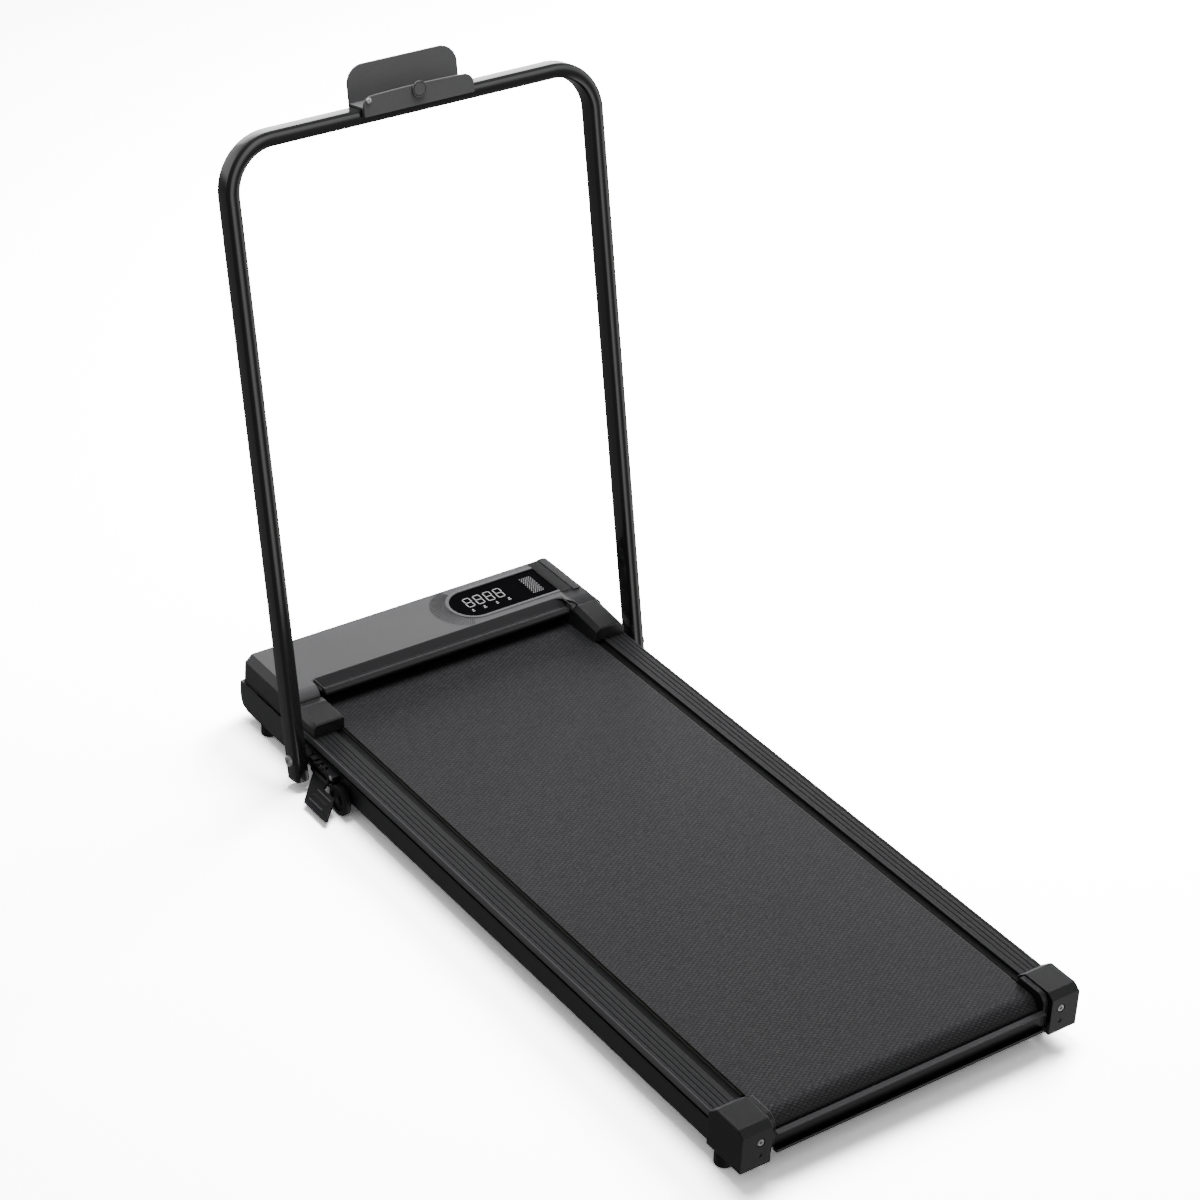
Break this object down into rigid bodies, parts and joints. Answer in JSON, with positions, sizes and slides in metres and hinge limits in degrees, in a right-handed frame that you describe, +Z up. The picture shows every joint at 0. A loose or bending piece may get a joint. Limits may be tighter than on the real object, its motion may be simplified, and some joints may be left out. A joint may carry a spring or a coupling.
{
  "type": "treadmill",
  "caption": "Folding walking treadmill: low belt deck with ribbed foot rails, a motor hood with a display and a U-shaped handlebar that leans forward and folds back over the belt.",
  "frame": {"origin": "on the floor, on the centre plane, under the middle of the outline from the rear end caps to the back of the phone rest", "axes": "+X to the walker's right, +Y forward from the rear roller to the motor hood, +Z up"},
  "size_m": [0.5928, 1.1694, 0.9285],
  "materials": {
    "frame_paint": "satin powder coat",
    "bar_paint": "satin powder coat",
    "hood_plastic": "fine texture",
    "rail_plastic": "ribbed extrusion",
    "cap_plastic": "fine texture",
    "tray_plastic": "fine texture",
    "holder_plastic": "fine texture",
    "inner_plastic": "plain",
    "belt_rubber": "fine diagonal weave",
    "foot_rubber": "plain",
    "wheel_rubber": "plain",
    "deck_wood": "black sealed board",
    "bright_steel": "zinc plated",
    "roller_steel": "turned",
    "heatsink_alloy": "extruded",
    "window_gloss": "polished",
    "bezel_gloss": "satin",
    "board_green": "circuit board"
  },
  "bodies": {
    "base": {"base_tray": "tray_plastic", "controller_box": "inner_plastic", "controller_heatsink": "heatsink_alloy", "deck_board": "deck_wood", "deck_cushions": "foot_rubber", "display_bezel": "bezel_gloss", "display_board": "board_green", "display_window": "window_gloss", "drive_belt": "belt_rubber", "end_cap_left": "cap_plastic", "end_cap_right": "cap_plastic", "end_cap_screws": "bright_steel", "front_cross_tube": "frame_paint", "front_roller_axle": "roller_steel", "middle_cross_tube": "frame_paint", "motor_body": "roller_steel", "motor_bracket": "frame_paint", "motor_hood": "hood_plastic", "pedal_bracket": "cap_plastic", "pedal_pin": "bright_steel", "pedal_screw": "bright_steel", "pedal_spring": "bright_steel", "pivot_bolts": "bright_steel", "pivot_bracket_left": "frame_paint", "pivot_bracket_right": "frame_paint", "power_inlet": "inner_plastic", "rail_block_left": "hood_plastic", "rail_block_right": "hood_plastic", "rail_cover_left": "rail_plastic", "rail_cover_right": "rail_plastic", "rear_cross_tube": "frame_paint", "rear_guard": "frame_paint", "rear_roller_axle": "roller_steel", "rubber_feet": "foot_rubber", "running_belt": "belt_rubber", "side_beam_left": "frame_paint", "side_beam_right": "frame_paint", "switch_housing": "inner_plastic", "tension_bolts": "bright_steel", "wheel_axles": "frame_paint"},
    "handlebar": {"handlebar_tube": "bar_paint", "handlebar_plugs": "inner_plastic", "pivot_bushes": "inner_plastic", "holder_tray": "holder_plastic", "holder_lip": "holder_plastic", "holder_knob": "holder_plastic", "holder_screw": "bright_steel"},
    "pedal": {"foot_pedal": "cap_plastic"},
    "front_roller": {"front_roller_tube": "roller_steel", "front_roller_bearings": "roller_steel", "front_roller_pulley": "roller_steel"},
    "rear_roller": {"rear_roller_tube": "roller_steel", "rear_roller_bearings": "roller_steel"},
    "motor_rotor": {"motor_shaft": "roller_steel", "motor_pulley": "roller_steel", "motor_fan": "inner_plastic"},
    "wheel_left": {"transport_wheel_left": "wheel_rubber"},
    "wheel_right": {"transport_wheel_right": "wheel_rubber"},
    "rocker": {"rocker_switch": "inner_plastic"}
  },
  "joints": [
    {"name": "handlebar_fold", "type": "hinge", "parent": "base", "child": "handlebar", "pos_m": [0, 0.3838, 0.043], "axis": [1, 0, 0], "range_deg": [0, 97]},
    {"name": "foot_pedal_press", "type": "hinge", "parent": "base", "child": "pedal", "pos_m": [-0.265, 0.3423, 0.0325], "axis": [0, 1, 0], "range_deg": [-7, 0], "stiffness_Nm_per_rad": 2, "springref_deg": 6.88},
    {"name": "front_roller_spin", "type": "hinge", "parent": "base", "child": "front_roller", "pos_m": [0, 0.4773, 0.0461], "axis": [1, 0, 0], "continuous": true},
    {"name": "rear_roller_spin", "type": "hinge", "parent": "base", "child": "rear_roller", "pos_m": [0, -0.5497, 0.0461], "axis": [1, 0, 0], "continuous": true},
    {"name": "motor_spin", "type": "hinge", "parent": "base", "child": "motor_rotor", "pos_m": [-0.125, 0.5333, 0.049], "axis": [1, 0, 0], "continuous": true},
    {"name": "wheel_left_spin", "type": "hinge", "parent": "base", "child": "wheel_left", "pos_m": [-0.263, 0.2963, 0.0223], "axis": [1, 0, 0], "continuous": true},
    {"name": "wheel_right_spin", "type": "hinge", "parent": "base", "child": "wheel_right", "pos_m": [0.263, 0.2963, 0.0223], "axis": [1, 0, 0], "continuous": true},
    {"name": "switch_rock", "type": "hinge", "parent": "base", "child": "rocker", "pos_m": [0.235, 0.5663, 0.039], "axis": [0, 0, 1], "range_deg": [0, 14]}
  ],
  "couplings": [
    {"joint": "rear_roller_spin", "follows": "front_roller_spin", "ratio": 1},
    {"joint": "motor_spin", "follows": "front_roller_spin", "ratio": 3}
  ]
}
